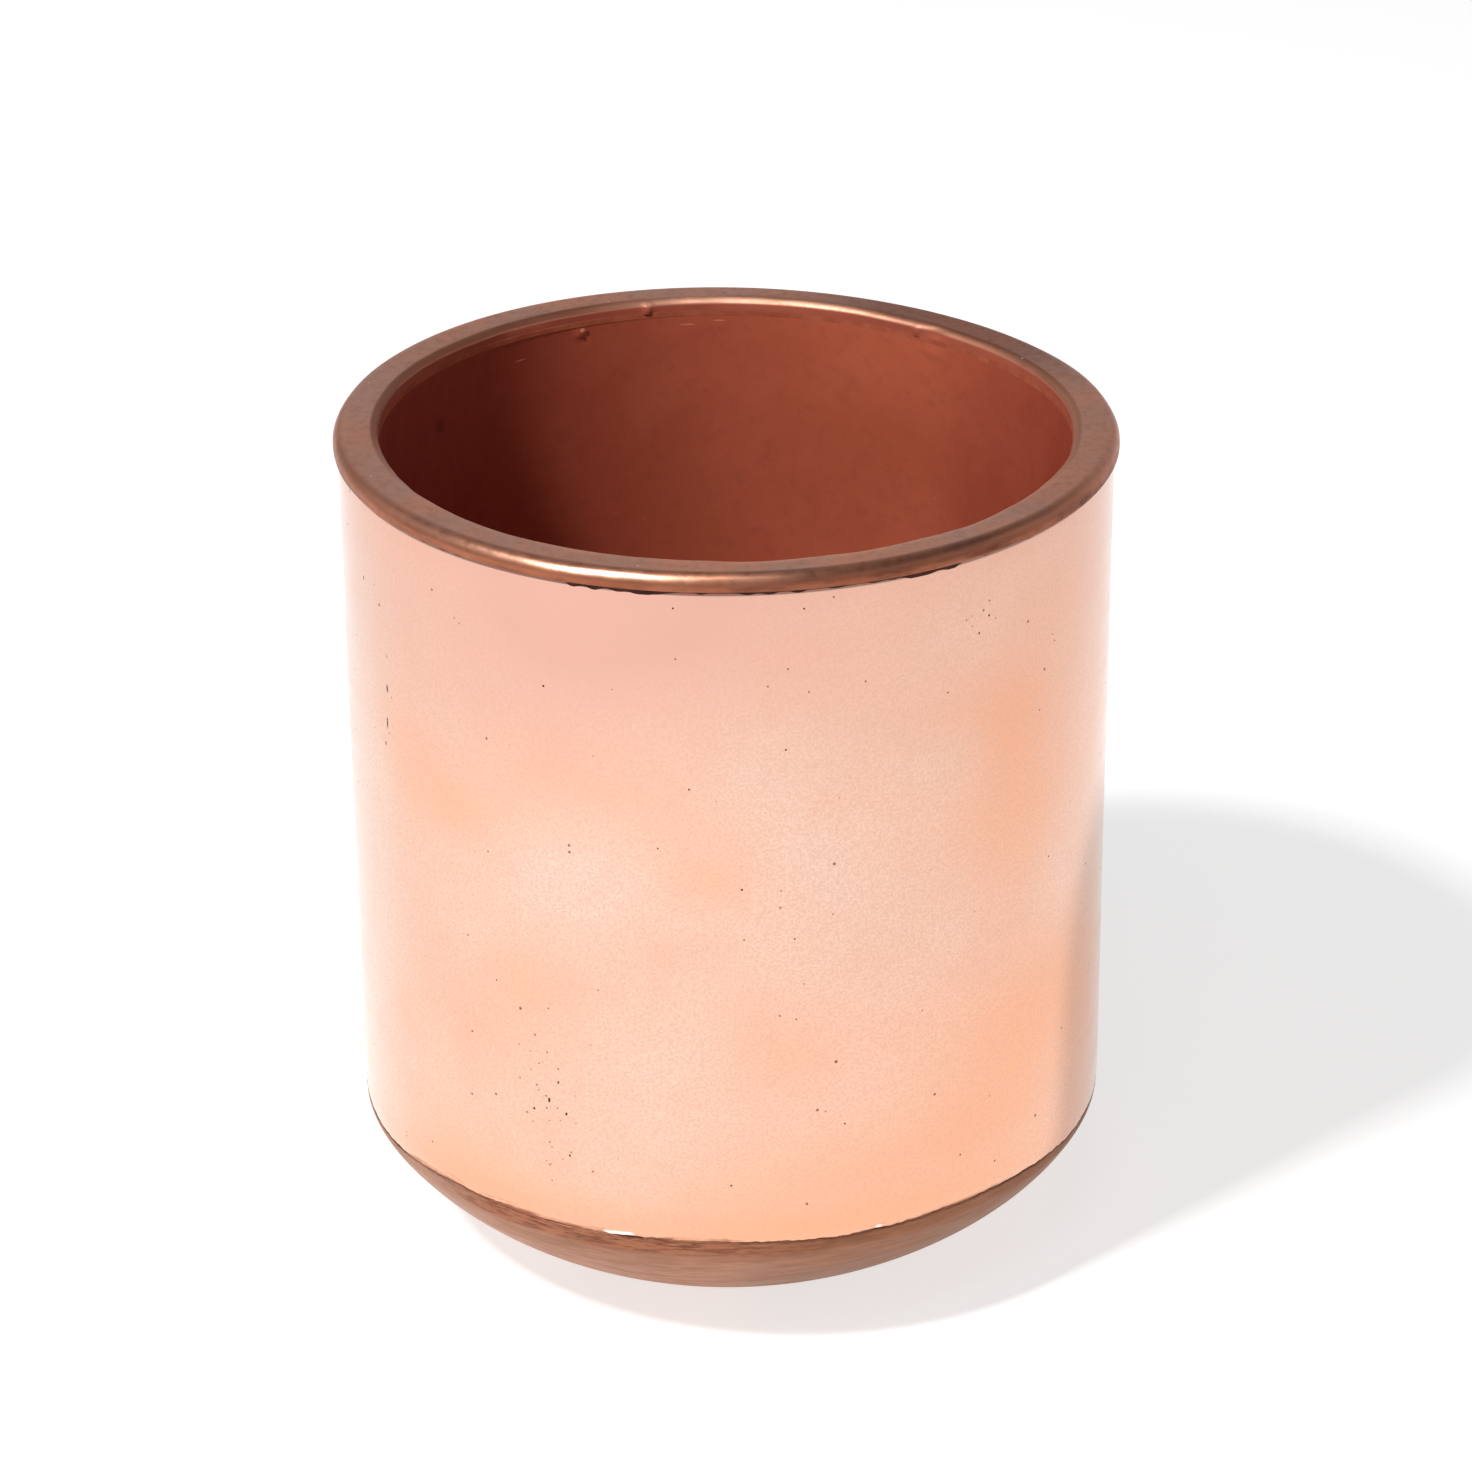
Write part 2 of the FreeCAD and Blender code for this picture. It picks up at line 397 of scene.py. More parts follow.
def ring_shift(r, z, a, i):
    if i >= n_under + 3:
        mid = (r - LINER_R_OUT) / (SLEEVE_R_IN - LINER_R_OUT)
        k = np.clip(mid, 0, 1)
        return r + lip_skew(a) * (1 - k) + 0.55 * rim_skew(a) * k, z
    t = np.clip((r - OPEN_R) / (RIM_R - OPEN_R), 0, 1)
    sk = lip_skew(a) * (1 - t) + rim_skew(a) * t
    up = smooth(z, RING_Z + 0.2, HEIGHT - 0.2)
    inside = 1.0 - smooth(t, 0.0, 0.32)
    outside = smooth(t, 0.72, 1.0)
    r2 = r + sk
    r2 = r2 + inside * up * (lip_wave(a) + lip_fine(a)) * 0.9 + outside * (nose_wave(a) - 0.10) * 0.8
    # lowered a little on average so that the swells stay under the CAD top
    z2 = z - up * (0.055 + 0.02 * inside) - up * 0.16 * hump(a, 0, 55) + up * np.clip(top_wave(a, r), -0.05, 0.05) - up * inside * 0.5 * np.abs(lip_wave(a))
    # spatter where the lip was brazed, on the far side
    r2 = r2 - 0.36 * inside * spot(a, z, -13.6, RING_Z + 0.75, 0.40, 0.8) - 0.22 * inside * spot(a, z, 37.0, RING_Z + 0.8, 0.35, 0.6) + 0.25 * inside * spot(a, z, 41.0, RING_Z + 1.1, 1.3, 0.8)
    return r2, z2


ring = revolve("mug_rim", sec, 720, ring_shift)

# ---------------------------------------------------------------------- beads
bead_w = wave(61, 9, 150, 0.12, 0.15)
bead_h = wave(62, 7, 120, 0.14, 0.15)
BEAD_AT = (-180, -120, -90, -77, -60, -50, -48, -41, -38, -25, -21, -9.5, -7, -4, 4, 12, 20, 24.5, 26, 33, 35, 50, 71, 90, 120, 150, 180)
BEAD_K = (0.4, 0.6, 0.3, 0.2, 0.2, 0.25, 0.45, 0.40, 0.15, 0.15, 0.80, 1.0, 0.25, 0.32, 0.35, 0.40, 0.50, 0.55, 0.95, 0.95, 0.45, 0.30, 0.25, 0.3, 0.6, 0.3, 0.4)


def bead_outer_shift(r, z, a, i):
    here = np.interp(bearing(a), BEAD_AT, BEAD_K)
    k = np.clip(here + bead_w(a), 0.10, 1.0)
    h = np.clip(here + bead_h(a), 0.12, 1.0)
    base = wall_round(a, np.full_like(a, RING_Z - 0.2))
    dr_ = np.clip(r - WALL_R, 0, None) * k
    return base - 0.12 * (r < WALL_R) + dr_ * 0.9, RING_Z + 0.03 - (RING_Z - z) * h


bo = [(WALL_R - 0.1, RING_Z), (WALL_R + 0.34, RING_Z), (WALL_R + 0.30, RING_Z - 0.09),
      (WALL_R + 0.24, RING_Z - 0.24), (WALL_R + 0.16, RING_Z - 0.40), (WALL_R + 0.08, RING_Z - 0.54),
      (WALL_R, RING_Z - 0.64), (WALL_R - 0.1, RING_Z - 0.64)]
bead_outer = revolve("mug_rim_seam", bo, 1100, bead_outer_shift)

bead_i = wave(63, 4, 80, 0.05, 0.3)


def bead_inner_shift(r, z, a, i):
    # proud of the wall by a hair on the left of the far side only
    proud = 0.05 * (hump(a, -32, 22) + 0.5 * hump(a, 140, 60)) + 0.12 * np.abs(bead_i(a)) * hump(a, -30, 40)
    return r + lip_skew(a) - np.where(r < OPEN_R, proud, 0.0), z


bi = [(OPEN_R + 0.06, RING_Z - 0.29), (OPEN_R - 0.006, RING_Z - 0.285), (OPEN_R - 0.006, RING_Z + 0.285),
      (OPEN_R + 0.06, RING_Z + 0.29), (OPEN_R + 0.22, RING_Z + 0.10), (OPEN_R + 0.25, RING_Z), (OPEN_R + 0.22, RING_Z - 0.10)]
bead_inner = revolve("mug_lip_seam", bi, 900, bead_inner_shift, smooth_all=False)

bead_b = wave(64, 6, 110, 0.045, 0.2)
bead_b2 = wave(65, 6, 90, 0.30, 0.2)


def bead_base_shift(r, z, a, i):
    low = seam_lift(a)
    zc = SEAM_Z + low
    base = wall_round(a, np.full_like(a, SEAM_Z)) - WALL_R
    k = np.clip(0.75 + bead_b2(a), 0.15, 1.25)
    out = np.where(r > WALL_R - 0.16, -0.055 + bead_b(a) * 0.8, 0.0)
    return r + base + out, zc + (z - SEAM_Z) * k + bead_b(a) * 0.5


bb = [(WALL_R - 0.28, SEAM_Z - 0.20), (WALL_R - 0.10, SEAM_Z - 0.22), (WALL_R - 0.05, SEAM_Z - 0.10),
      (WALL_R - 0.03, SEAM_Z), (WALL_R - 0.05, SEAM_Z + 0.10), (WALL_R - 0.10, SEAM_Z + 0.22),
      (WALL_R - 0.28, SEAM_Z + 0.20)]
bead_base = revolve("mug_base_seam", bb, 1100, bead_base_shift)


# Larger pinholes and tears in the wall: bearing in degrees, height, radius in mm
# and how much taller than wide.
MARKS = (
    (-26.8, 79.1, 0.129, 1.0), (1.7, 58.0, 0.122, 1.0), (-7.5, 89.4, 0.106, 1.0), (10.6, 89.1, 0.106, 1.0),
    (-0.2, 23.0, 0.129, 1.0), (9.2, 52.0, 0.099, 1.0), (4.7, 45.1, 0.099, 1.0), (11.3, 79.9, 0.099, 1.0),
    (32.6, 77.0, 0.099, 1.0), (-5.6, 69.4, 0.106, 1.0), (16.6, 29.4, 0.106, 1.0), (9.4, 42.6, 0.099, 1.0),
    (54.7, 52.6, 0.099, 1.0), (-27.7, 30.8, 0.144, 2.2), (-24.9, 29.6, 0.129, 1.6), (-30.3, 29.3, 0.129, 1.3),
    (-24.5, 24.6, 0.122, 1.2), (-26.1, 33.3, 0.122, 1.5), (-59.4, 71.6, 0.167, 3.0), (-59.8, 67.5, 0.144, 4.5),
    (-60.6, 64.9, 0.122, 2.0), (-59.2, 75.4, 0.122, 2.0), (-66.7, 82.2, 0.144, 2.0), (-59.2, 17.8, 0.129, 2.6),
    (36.0, 21.8, 0.106, 1.0), (39.8, 84.2, 0.129, 1.0), (41.5, 85.2, 0.106, 1.0), (38.0, 82.6, 0.106, 1.4),
    (150.0, 60.0, 0.144, 1.4), (165.0, 38.0, 0.122, 1.0), (-135.0, 52.0, 0.129, 1.8), (110.0, 25.0, 0.122, 1.2),
)

# ------------------------------------------------------------------ materials
class Mat:
    """A small helper to write node materials."""

    def __init__(self, name):
        m = bpy.data.materials.new(name)
        m.use_nodes = True
        self.m = m
        self.nt = m.node_tree
        self.nt.nodes.clear()
        self.out = self.nt.nodes.new("ShaderNodeOutputMaterial")
        self.bsdf = self.nt.nodes.new("ShaderNodeBsdfPrincipled")
        self.nt.links.new(self.bsdf.outputs[0], self.out.inputs[0])
        tc = self.nt.nodes.new("ShaderNodeTexCoord")
        self.pos = tc.outputs["Object"]

    def set(self, **kw):
        for k, v in kw.items():
            self.bsdf.inputs[k.replace("_", " ")].default_value = v

    def link(self, a, b):
        self.nt.links.new(a, b)

    def _in(self, sock, v):
        if hasattr(v, "is_output"):
            self.link(v, sock)
        elif v is not None:
            sock.default_value = v

    def mapping(self, scale=(1, 1, 1), loc=(0, 0, 0), src=None):
        n = self.nt.nodes.new("ShaderNodeMapping")
        n.inputs["Scale"].default_value = scale
        n.inputs["Location"].default_value = loc
        self.link(src or self.pos, n.inputs["Vector"])
        return n.outputs[0]

    def noise(self, scale, detail=4.0, rough=0.55, vec=None, dist=0.0, loc=(0, 0, 0), stretch=(1, 1, 1)):
        n = self.nt.nodes.new("ShaderNodeTexNoise")
        n.inputs["Scale"].default_value = scale
        n.inputs["Detail"].default_value = detail
        n.inputs["Roughness"].default_value = rough
        n.inputs["Distortion"].default_value = dist
        self.link(self.mapping(stretch, loc, vec), n.inputs["Vector"])
        return n.outputs["Fac"]

    def voronoi(self, scale, loc=(0, 0, 0), feature="F1", rand=1.0):
        n = self.nt.nodes.new("ShaderNodeTexVoronoi")
        n.feature = feature
        n.inputs["Scale"].default_value = scale
        n.inputs["Randomness"].default_value = rand
        self.link(self.mapping((1, 1, 1), loc), n.inputs["Vector"])
        return n

    def attr(self, name):
        n = self.nt.nodes.new("ShaderNodeAttribute")
        n.attribute_name = name
        return n.outputs["Fac"]

    def math(self, op, a, b=None, c=None, clamp=False):
        n = self.nt.nodes.new("ShaderNodeMath")
        n.operation = op
        n.use_clamp = clamp
        self._in(n.inputs[0], a)
        if b is not None:
            self._in(n.inputs[1], b)
        if c is not None:
            self._in(n.inputs[2], c)
        return n.outputs[0]

    def ramp(self, fac, lo, hi, a=0.0, b=1.0, smooth_=True):
        n = self.nt.nodes.new("ShaderNodeMapRange")
        n.interpolation_type = "SMOOTHSTEP" if smooth_ else "LINEAR"
        self._in(n.inputs["Value"], fac)
        n.inputs["From Min"].default_value = lo
        n.inputs["From Max"].default_value = hi
        n.inputs["To Min"].default_value = a
        n.inputs["To Max"].default_value = b
        return n.outputs[0]

    def mix(self, fac, a, b, mode="MIX"):
        n = self.nt.nodes.new("ShaderNodeMix")
        n.data_type = "RGBA"
        n.blend_type = mode
        self._in(n.inputs[0], fac)
        for sock, v in ((n.inputs[6], a), (n.inputs[7], b)):
            if isinstance(v, (tuple, list)):
                sock.default_value = (*v[:3], 1.0)
            else:
                self.link(v, sock)
        return n.outputs[2]

    def bump(self, height, strength=0.2, distance=0.0001, normal=None):
        n = self.nt.nodes.new("ShaderNodeBump")
        n.inputs["Strength"].default_value = strength
        n.inputs["Distance"].default_value = distance
        self.link(height, n.inputs["Height"])
        if normal is not None:
            self.link(normal, n.inputs["Normal"])
        return n.outputs[0]


def dots(M, table, radius_at, soft=0.7):
    """The union of small soft spots: azimuth, height, half width, half height."""
    got = None
    for a_deg, z0, wide, high in table:
        a0 = math.radians(a_deg)
        r0 = float(radius_at(np.array([a0]), np.array([z0]))[0])
        sub = M.nt.nodes.new("ShaderNodeVectorMath")
        sub.operation = "SUBTRACT"
        M.link(M.pos, sub.inputs[0])
        sub.inputs[1].default_value = (r0 * math.sin(a0) * MM, r0 * math.cos(a0) * MM, z0 * MM)
        mul = M.nt.nodes.new("ShaderNodeVectorMath")
        mul.operation = "MULTIPLY"
        M.link(sub.outputs[0], mul.inputs[0])
        mul.inputs[1].default_value = (1000.0 / wide, 1000.0 / wide, 1000.0 / high)
        ln = M.nt.nodes.new("ShaderNodeVectorMath")
        ln.operation = "LENGTH"
        M.link(mul.outputs[0], ln.inputs[0])
        one = M.ramp(ln.outputs["Value"], 1.25, soft)
        got = one if got is None else M.math("MAXIMUM", got, one)
    return got


def bore_at(a, z):
    """Radius of the opening's inner skin."""
    return OPEN_R + lip_skew(a) * smooth(z, 60.0, 91.0)


# polished copper of the wall
P = Mat("polished_copper")
P.set(Metallic=1.0)
warm = P.attr("warm")
cool = P.attr("cool")
blot = P.noise(62.0, 3.0, 0.55)
blot2 = P.noise(170.0, 4.0, 0.6, loc=(0.3, 0.1, 0.7))
col = P.mix(P.ramp(blot, 0.36, 0.64), (0.815, 0.495, 0.370), (0.840, 0.530, 0.404))
# warm and cool: the plating's own mottling, with a painted reflection and painted sheen in some patches
col = P.mix(warm, col, (0.875, 0.415, 0.240))
col = P.mix(cool, col, (0.785, 0.590, 0.485))
col = P.mix(P.ramp(blot2, 0.42, 0.74, 0.0, 0.30), col, (0.800, 0.450, 0.315))
# painted shade: the wall's colour darkened towards the top and under the rim, where its reflection of the floor grows
# dimmer
col = P.mix(P.attr("shade"), col, (0.660, 0.370, 0.300))
grain = P.noise(3600.0, 2.0, 0.6)
col = P.mix(P.ramp(grain, 0.36, 0.64, 0.0, 0.46), col, (0.66, 0.37, 0.27))
# pinholes: a scatter of small ones, and the larger ones where the plating failed
vor = P.voronoi(400.0, (0.011, 0.0, 0.004))
pick = P.nt.nodes.new("ShaderNodeSeparateColor")
P.link(vor.outputs["Color"], pick.inputs[0])
size = P.math("MULTIPLY_ADD", pick.outputs[1], 0.050, 0.022)
size = P.math("MULTIPLY", size, P.math("GREATER_THAN", pick.outputs[0], 0.30))
hole = P.math("SUBTRACT", 1.3, P.math("DIVIDE", vor.outputs["Distance"], P.math("ADD", size, 0.0001)), clamp=True)
hole = P.math("MULTIPLY", hole, 1.8, clamp=True)
cl_v = P.voronoi(1700.0, (0.2, 0.31, 0.07))
cl_p = P.nt.nodes.new("ShaderNodeSeparateColor")
P.link(cl_v.outputs["Color"], cl_p.inputs[0])
in_cluster = P.math("GREATER_THAN", P.attr("cluster"), P.math("MULTIPLY_ADD", cl_p.outputs[0], 0.75, 0.25))
cl_hole = P.math("MULTIPLY", P.math("LESS_THAN", cl_v.outputs["Distance"], P.math("MULTIPLY_ADD", cl_p.outputs[1], 0.20, 0.06)), in_cluster)
marks = dots(P, [(180.0 - b, z0, rad, rad * tall) for b, z0, rad, tall in MARKS], wall_round)
tears = P.ramp(P.noise(1500.0, 3.0, 0.6, loc=(0.7, 0.7, 0.1)), 0.36, 0.46)
marks = P.math("MULTIPLY", marks, tears)
col = P.mix(P.math("MULTIPLY", hole, 0.80), col, (0.16, 0.07, 0.04))
col = P.mix(P.math("MULTIPLY", cl_hole, 0.65), col, (0.25, 0.11, 0.06))
col = P.mix(P.math("MULTIPLY", marks, 0.97), col, (0.045, 0.022, 0.014))
# the dressed edge: brown drag marks over the last part of a millimetre, and a
# spot of solder coloured near-white as a painted glint
above = P.attr("above")
drag = P.noise(1000.0, 5.0, 0.68, stretch=(0.10, 0.10, 2.2), loc=(0.1, 0.4, 0.3))
near = P.math("DIVIDE", above, P.attr("drag_w"))
near = P.math("ADD", near, P.ramp(drag, 0.30, 0.70, -0.75, 0.75, False))
near = P.ramp(near, 1.0, 0.25)
near = P.math("MULTIPLY", near, P.ramp(P.noise(1500.0, 4.0, 0.6, stretch=(0.15, 0.15, 2.2)), 0.36, 0.56, 0.25, 0.95))
col = P.mix(near, col, P.mix(P.ramp(drag, 0.35, 0.65), (0.470, 0.200, 0.115), (0.200, 0.078, 0.042)))
solder_glint = P.math("MULTIPLY", P.attr("solder_glint"), P.math("MULTIPLY", P.ramp(above, 0.10, 0.22), P.ramp(above, 0.60, 0.42)))
col = P.mix(solder_glint, col, (1.0, 0.96, 0.92))
P.link(col, P.bsdf.inputs["Base Color"])
wipe = P.noise(240.0, 5.0, 0.6, stretch=(0.3, 0.3, 1.4), loc=(0.2, 0.2, 0.0))
pits = P.math("MAXIMUM", P.math("MAXIMUM", hole, cl_hole), marks)
rough = P.ramp(wipe, 0.3, 0.7, 0.13, 0.20)
rough = P.math("ADD", rough, P.math("MULTIPLY", warm, 0.03))
rough = P.math("ADD", rough, P.math("MULTIPLY", pits, 0.3))
P.link(rough, P.bsdf.inputs["Roughness"])
n1 = P.bump(grain, 0.10, 0.000012)
n2 = P.bump(P.math("SUBTRACT", wipe, P.math("MULTIPLY", pits, 1.2)), 0.10, 0.00005, n1)
P.link(n2, P.bsdf.inputs["Normal"])

# satin copper of the rim
S = Mat("satin_copper")
sb = S.noise(95.0, 4.0, 0.6)
sb2 = S.noise(38.0, 3.0, 0.5, loc=(0.15, 0.0, 0.4))
sf = S.noise(1100.0, 4.0, 0.65, loc=(0.4, 0.0, 0.1))
col = S.mix(S.ramp(sb, 0.36, 0.62), (0.760, 0.400, 0.300), (0.900, 0.400, 0.255))
col = S.mix(S.ramp(sb2, 0.45, 0.62, 0.0, 0.7), col, (0.790, 0.425, 0.325))
col = S.mix(S.ramp(sf, 0.45, 0.72, 0.0, 0.45), col, (0.50, 0.270, 0.200))
edge_wear_highlight = S.attr("edge")
nose_a = S.attr("nose")
tarn = S.ramp(S.noise(300.0, 5.0, 0.65, stretch=(0.3, 0.3, 1.6), loc=(0.3, 0.1, 0.2)), 0.34, 0.66)
col = S.mix(S.math("MULTIPLY", nose_a, 0.90), col, S.mix(tarn, (0.520, 0.190, 0.105), (0.380, 0.130, 0.072)))
# painted highlight, partly polished wear: the nose lighter and glossier where the key light catches it
col = S.mix(edge_wear_highlight, col, (0.820, 0.470, 0.330))
col = S.mix(S.math("MULTIPLY", S.attr("lip"), 0.90), col, (0.360, 0.135, 0.080))
# painted highlight on the far side of the inner lip
col = S.mix(S.attr("lip_highlight"), col, (0.900, 0.500, 0.345))
bead_dot = dots(S, ((41.5, HEIGHT - 0.75, 0.26, 0.26), (43.8, HEIGHT - 1.35, 0.75, 0.14), (-13.2, HEIGHT - 0.55, 0.22, 0.25)), bore_at)
col = S.mix(S.math("MULTIPLY", bead_dot, 0.7), col, (0.860, 0.520, 0.400))
# dark brown on the lower nose: streaky tarnish, deepened as painted shade under the nose, against the wall and most on
# the right, away from the key light
grime_shade_a = S.attr("grime_and_shade")
gr = S.noise(260.0, 6.0, 0.7, stretch=(0.45, 0.45, 2.2), loc=(0.0, 0.3, 0.0))
gr2 = S.ramp(gr, 0.26, 0.62, 0.60, 1.15)
brown = S.mix(S.ramp(S.noise(420.0, 5.0, 0.65, stretch=(0.4, 0.4, 2.6)), 0.42, 0.66), (0.260, 0.075, 0.036), (0.085, 0.024, 0.013))
col = S.mix(S.math("MULTIPLY", grime_shade_a, gr2, clamp=True), col, brown)
within = S.attr("within")
col = S.mix(within, col, (0.37, 0.080, 0.040))
sv = S.voronoi(430.0, (0.02, 0.013, 0.0))
sp = S.nt.nodes.new("ShaderNodeSeparateColor")
S.link(sv.outputs["Color"], sp.inputs[0])
speck = S.math("MULTIPLY", S.math("LESS_THAN", sv.outputs["Distance"], 0.060),
               S.math("GREATER_THAN", sp.outputs[0], 0.62))
speck = S.math("MULTIPLY", speck, S.attr("flat"))
col = S.mix(S.math("MULTIPLY", speck, 0.75), col, (0.98, 0.93, 0.90))
# painted light: the flat top lighter at the front and right, partly worn copper; painted shade: darker on its far
# right, to weaken the key light's reflection there
col = S.mix(S.attr("rubbed_and_lit"), col, (1.14, 1.16, 1.18), "MULTIPLY")
col = S.mix(S.attr("dimmed_reflection"), col, (0.56, 0.46, 0.43), "MULTIPLY")
S.link(col, S.bsdf.inputs["Base Color"])
S.link(S.math("SUBTRACT", 1.0, within), S.bsdf.inputs["Metallic"])
rr = S.ramp(sf, 0.3, 0.75, 0.40, 0.50)
rr = S.math("SUBTRACT", rr, S.math("MULTIPLY", nose_a, 0.06))
rr = S.math("SUBTRACT", rr, S.math("MULTIPLY", edge_wear_highlight, 0.08))
rr = S.math("ADD", rr, S.math("MULTIPLY", S.attr("lip"), 0.16))
rr = S.math("ADD", rr, S.math("MULTIPLY", within, 0.30))
rr = S.math("ADD", rr, S.math("MULTIPLY", grime_shade_a, 0.10))
S.link(rr, S.bsdf.inputs["Roughness"])
nb = S.bump(sf, 0.20, 0.00004)
nb = S.bump(S.noise(330.0, 5.0, 0.6), 0.14, 0.00014, nb)
nb = S.bump(S.math("MULTIPLY", gr, grime_shade_a), 0.30, 0.00012, nb)
S.link(nb, S.bsdf.inputs["Normal"])

# matte red-brown inside
I = Mat("matte_copper")
I.set(Metallic=0.0)
I.bsdf.inputs["Specular IOR Level"].default_value = 0.14
ib = I.noise(70.0, 5.0, 0.6)
i2 = I.noise(520.0, 5.0, 0.65, loc=(0.1, 0.5, 0.2))
i3 = I.noise(26.0, 3.0, 0.5, loc=(0.4, 0.2, 0.1))
col = I.mix(I.ramp(ib, 0.36, 0.64), (0.405, 0.084, 0.042), (0.470, 0.108, 0.056))
col = I.mix(I.ramp(i3, 0.38, 0.62, 0.0, 0.5), col, (0.490, 0.115, 0.055))
col = I.mix(I.ramp(i2, 0.46, 0.74, 0.0, 0.40), col, (0.330, 0.070, 0.038))
iv = I.voronoi(420.0, (0.3, 0.1, 0.05))
ip = I.nt.nodes.new("ShaderNodeSeparateColor")
I.link(iv.outputs["Color"], ip.inputs[0])
ih = I.math("MULTIPLY", I.math("LESS_THAN", iv.outputs["Distance"], 0.055), I.math("GREATER_THAN", ip.outputs[0], 0.45))
col = I.mix(I.math("MULTIPLY", ih, 0.35), col, (0.60, 0.24, 0.16))
col = I.mix(I.attr("edge"), col, (0.52, 0.16, 0.09))
# darker, redder inside wall, most on the left: partly tarnish, partly painted shade on the side the key light does not
# reach
col = I.mix(I.attr("aged_and_shaded"), col, (0.200, 0.016, 0.012))
bright = dots(I, ((-25.6, 90.55, 0.30, 0.26),), bore_at)
streaks = dots(I, ((-6.6, 90.0, 0.9, 0.08), (-1.0, 90.4, 0.7, 0.07), (-38.0, 88.6, 0.8, 0.07)), bore_at)
pit = dots(I, ((-24.6, 90.05, 0.26, 0.34),), bore_at)
smudge = dots(I, ((-58.0, 84.6, 1.3, 1.1),), bore_at, 0.0)
col = I.mix(I.math("MULTIPLY", bright, 0.65), col, (0.82, 0.38, 0.25))
col = I.mix(I.math("MULTIPLY", streaks, 0.40), col, (0.78, 0.36, 0.25))
col = I.mix(I.math("MULTIPLY", smudge, 0.55), col, (0.100, 0.018, 0.012))
col = I.mix(I.math("MULTIPLY", pit, 0.70), col, (0.100, 0.018, 0.012))
I.link(col, I.bsdf.inputs["Base Color"])
I.link(I.ramp(i2, 0.3, 0.7, 0.58, 0.76), I.bsdf.inputs["Roughness"])
nb = I.bump(i2, 0.30, 0.00010)
nb = I.bump(I.noise(2000.0, 3.0, 0.6), 0.18, 0.00003, nb)
I.link(nb, I.bsdf.inputs["Normal"])

# brushed base of low gloss
B = Mat("brushed_copper")
B.set(Metallic=0.75)
rad_n = B.nt.nodes.new("ShaderNodeSeparateXYZ")
B.link(B.pos, rad_n.inputs[0])
st = B.noise(520.0, 6.0, 0.74, stretch=(0.26, 0.26, 2.0))
st2 = B.noise(1700.0, 4.0, 0.7, stretch=(0.20, 0.20, 1.8), loc=(0.2, 0.1, 0.3))
st3 = B.noise(260.0, 6.0, 0.72, stretch=(0.5, 0.5, 1.8), loc=(0.6, 0.4, 0.1))
bl = B.noise(110.0, 4.0, 0.6, loc=(0.7, 0.2, 0.0))
col = B.mix(B.ramp(bl, 0.36, 0.64), (0.360, 0.168, 0.092), (0.415, 0.180, 0.094))
col = B.mix(B.ramp(st3, 0.36, 0.68, 0.0, 0.55), col, (0.330, 0.145, 0.085))
col = B.mix(B.ramp(st, 0.40, 0.72, 0.0, 0.42), col, (0.240, 0.095, 0.052))
col = B.mix(B.ramp(st2, 0.50, 0.76, 0.0, 0.40), col, (0.640, 0.330, 0.225))
fr = B.attr("fringe")
red = B.mix(B.ramp(st2, 0.38, 0.62), (0.430, 0.155, 0.083), (0.165, 0.060, 0.034))
col = B.mix(B.math("MULTIPLY", fr, B.ramp(B.math("MULTIPLY_ADD", st, 0.5, B.math("MULTIPLY", st2, 0.5)), 0.36, 0.56)), col, red)
# painted light: the base paler on the left, towards the key light; painted shade: darker on the right, towards the
# mug's cast shadow
col = B.mix(B.attr("painted_light_left"), col, (0.560, 0.360, 0.270))
col = B.mix(B.attr("painted_shade_right"), col, (0.210, 0.088, 0.045))
B.link(col, B.bsdf.inputs["Base Color"])
B.link(B.ramp(st, 0.3, 0.7, 0.44, 0.60), B.bsdf.inputs["Roughness"])
nb = B.bump(st2, 0.25, 0.00003)
nb = B.bump(st, 0.25, 0.00007, nb)
nb = B.bump(st3, 0.20, 0.00010, nb)
B.link(nb, B.bsdf.inputs["Normal"])

# braze: the dark filled seams, and the red-brown one inside the lip
Z = Mat("braze")
Z.set(Metallic=0.0)
Z.bsdf.inputs["Specular IOR Level"].default_value = 0.12
zb = Z.noise(620.0, 5.0, 0.65)
zb2 = Z.noise(230.0, 5.0, 0.65, loc=(0.5, 0.1, 0.2), stretch=(1, 1, 0.3))
col = Z.mix(Z.ramp(zb, 0.35, 0.65), (0.030, 0.009, 0.005), (0.070, 0.022, 0.012))
brown = Z.mix(Z.ramp(Z.noise(1200.0, 4.0, 0.65, stretch=(0.12, 0.12, 2.2)), 0.38, 0.62), (0.330, 0.140, 0.082), (0.150, 0.055, 0.031))
col = Z.mix(Z.ramp(Z.math("ADD", Z.attr("worn"), Z.ramp(zb2, 0.3, 0.7, -0.35, 0.35)), 0.35, 0.65), col, brown)
Z.link(col, Z.bsdf.inputs["Base Color"])
Z.link(Z.ramp(zb, 0.3, 0.7, 0.65, 0.85), Z.bsdf.inputs["Roughness"])
Z.link(Z.bump(zb, 0.4, 0.0001), Z.bsdf.inputs["Normal"])

Y = Mat("braze_inside")
Y.set(Metallic=0.0)
yb = Y.noise(480.0, 5.0, 0.65)
yb2 = Y.noise(110.0, 4.0, 0.6, loc=(0.1, 0.6, 0.2), stretch=(1, 1, 0.3))
col = Y.mix(Y.ramp(yb, 0.35, 0.65), (0.350, 0.080, 0.040), (0.440, 0.115, 0.060))
col = Y.mix(Y.ramp(yb2, 0.52, 0.68, 0.0, 0.5), col, (0.270, 0.065, 0.036))
Y.bsdf.inputs["Specular IOR Level"].default_value = 0.14
Y.link(col, Y.bsdf.inputs["Base Color"])
Y.link(Y.ramp(yb, 0.3, 0.7, 0.50, 0.70), Y.bsdf.inputs["Roughness"])
Y.link(Y.bump(yb, 0.3, 0.0001), Y.bsdf.inputs["Normal"])


